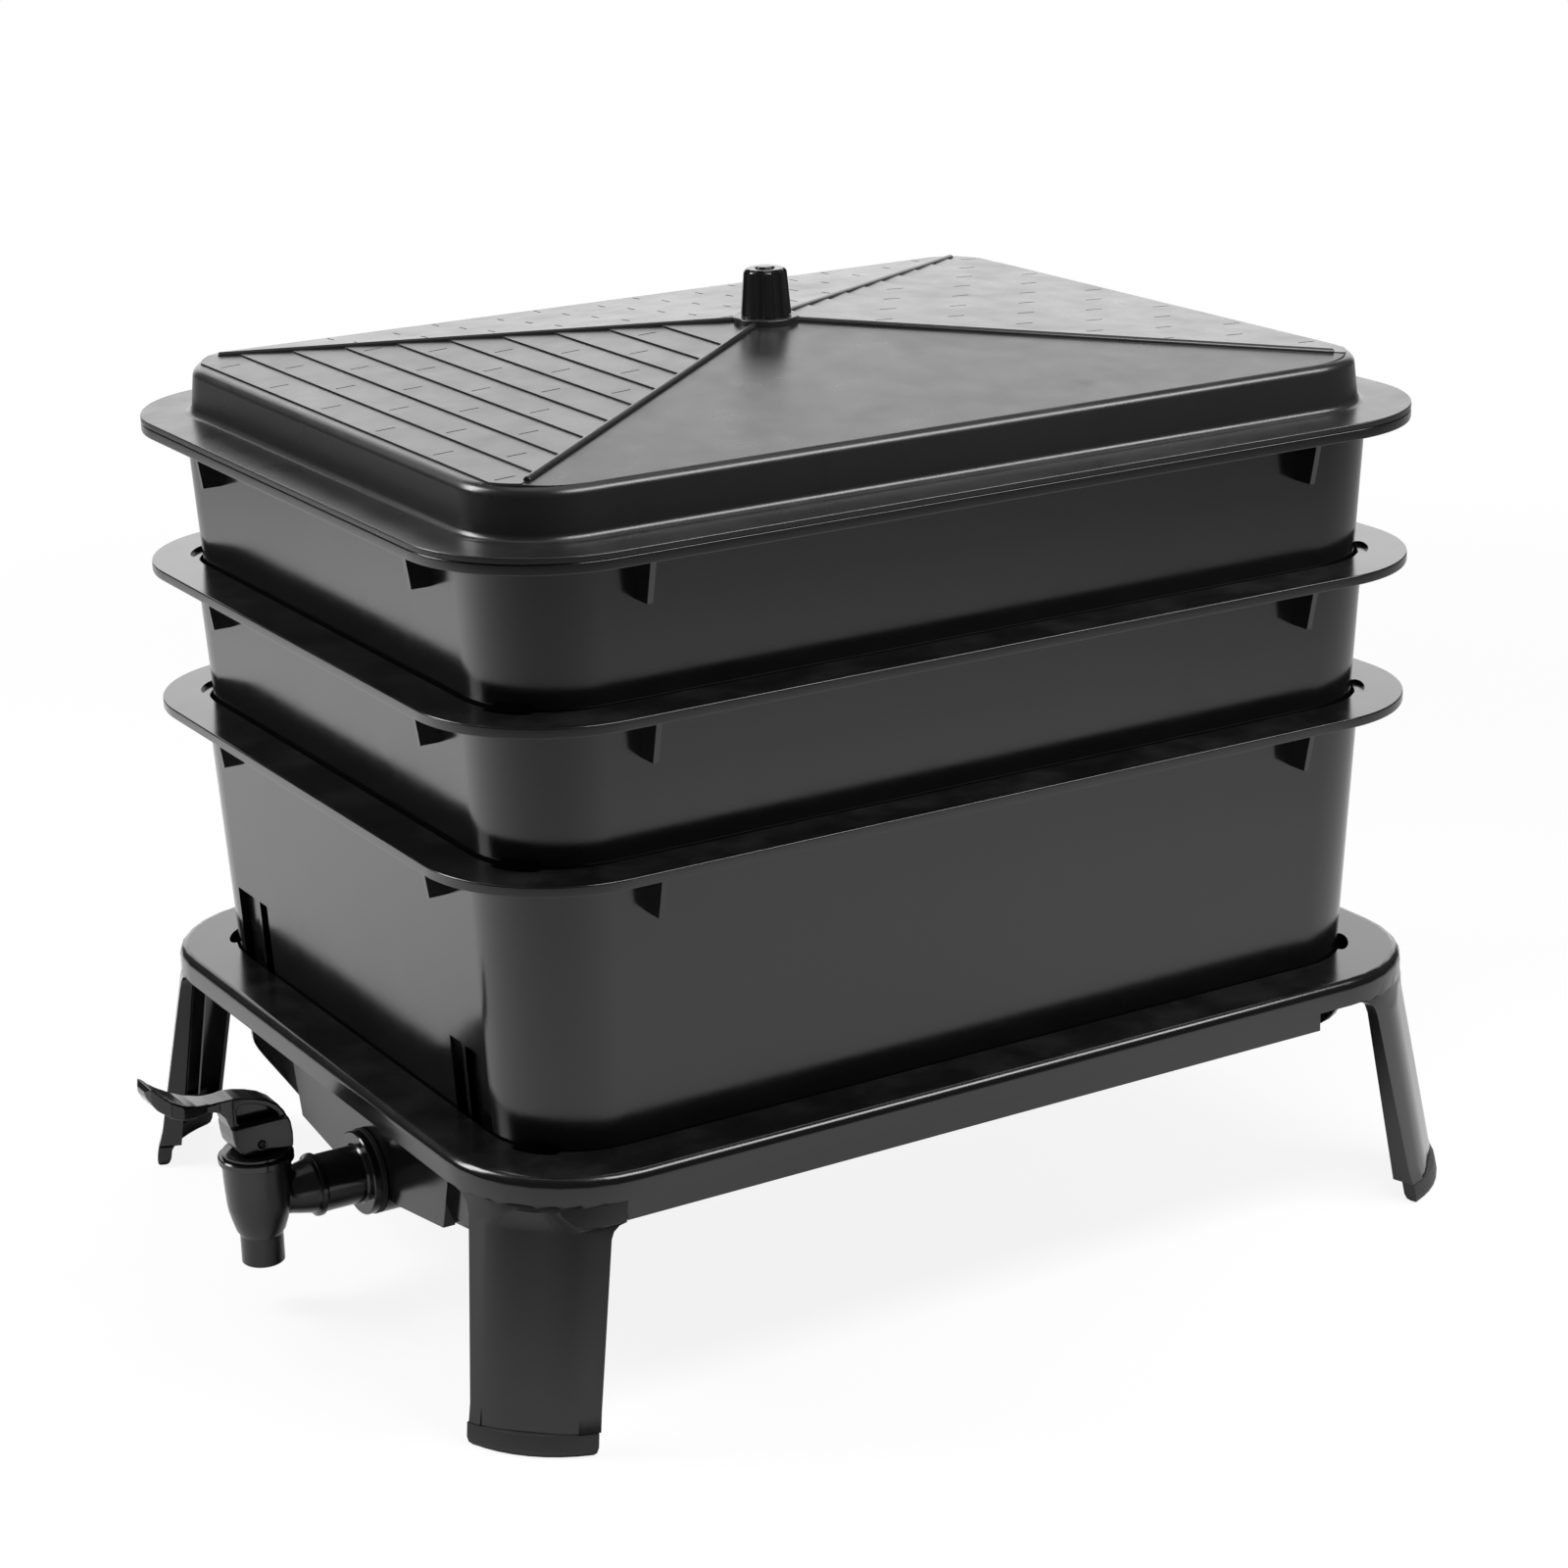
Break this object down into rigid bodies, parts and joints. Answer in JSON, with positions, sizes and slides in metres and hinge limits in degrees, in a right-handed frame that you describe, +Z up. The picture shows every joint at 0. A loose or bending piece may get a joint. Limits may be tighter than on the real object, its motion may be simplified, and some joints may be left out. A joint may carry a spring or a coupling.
{
  "type": "wormery",
  "caption": "Stacking wormery of nested flanged trays under a hipped lid, on a legged stand with a collector basin and a sprung dispenser tap.",
  "frame": {"origin": "on the floor, under the middle of the whole object's box, tap lever included", "axes": "+X along the long side away from the tap, +Y towards the back long side, +Z up"},
  "size_m": [0.6646, 0.4748, 0.4989],
  "materials": {
    "tray_plastic": "satin black polypropylene",
    "lid_plastic": "fine-grained black polypropylene",
    "stand_plastic": "satin black polypropylene",
    "knob_plastic": "polished black plastic",
    "tap_plastic": "glossy black plastic",
    "seal_rubber": "matt black",
    "spring_steel": "drawn stainless wire"
  },
  "bodies": {
    "base": {"stand": "stand_plastic", "foot_front_left": "seal_rubber", "foot_front_right": "seal_rubber", "foot_back_left": "seal_rubber", "foot_back_right": "seal_rubber", "tap_body": "tap_plastic", "tap_bonnet": "tap_plastic", "tap_spring": "spring_steel", "tap_outer_washer": "seal_rubber", "tap_inner_washer": "seal_rubber", "tap_lock_nut": "tap_plastic"},
    "bottom_tray": {"bottom_tray": "tray_plastic"},
    "middle_tray": {"middle_tray": "tray_plastic"},
    "top_tray": {"top_tray": "tray_plastic"},
    "lid": {"lid": "lid_plastic", "lid_knob": "knob_plastic", "knob_cap": "knob_plastic", "knob_screw": "spring_steel"},
    "lever": {"tap_lever": "tap_plastic", "lever_pin": "spring_steel"},
    "stem": {"tap_stem": "tap_plastic", "tap_seal": "seal_rubber"}
  },
  "joints": [
    {"name": "bottom_tray_lift", "type": "slide", "parent": "base", "child": "bottom_tray", "axis": [0, 0, 1], "range_m": [0, 0.03]},
    {"name": "middle_tray_lift", "type": "slide", "parent": "bottom_tray", "child": "middle_tray", "axis": [0, 0, 1], "range_m": [0, 0.1]},
    {"name": "top_tray_lift", "type": "slide", "parent": "middle_tray", "child": "top_tray", "axis": [0, 0, 1], "range_m": [0, 0.1]},
    {"name": "lid_lift", "type": "slide", "parent": "top_tray", "child": "lid", "axis": [0, 0, 1], "range_m": [0, 0.06]},
    {"name": "tap_lever_press", "type": "hinge", "parent": "base", "child": "lever", "pos_m": [-0.28194, 0, 0.0866], "axis": [0, -1, 0], "range_deg": [0, 18]},
    {"name": "tap_stem_lift", "type": "slide", "parent": "base", "child": "stem", "axis": [0, 0, 1], "range_m": [0, 0.00208], "stiffness_N_per_m": 40, "springref_m": -0.004, "deforming": ["tap_spring"]}
  ],
  "couplings": [
    {"joint": "tap_lever_press", "follows": "tap_stem_lift", "rad_per_m": 151}
  ]
}
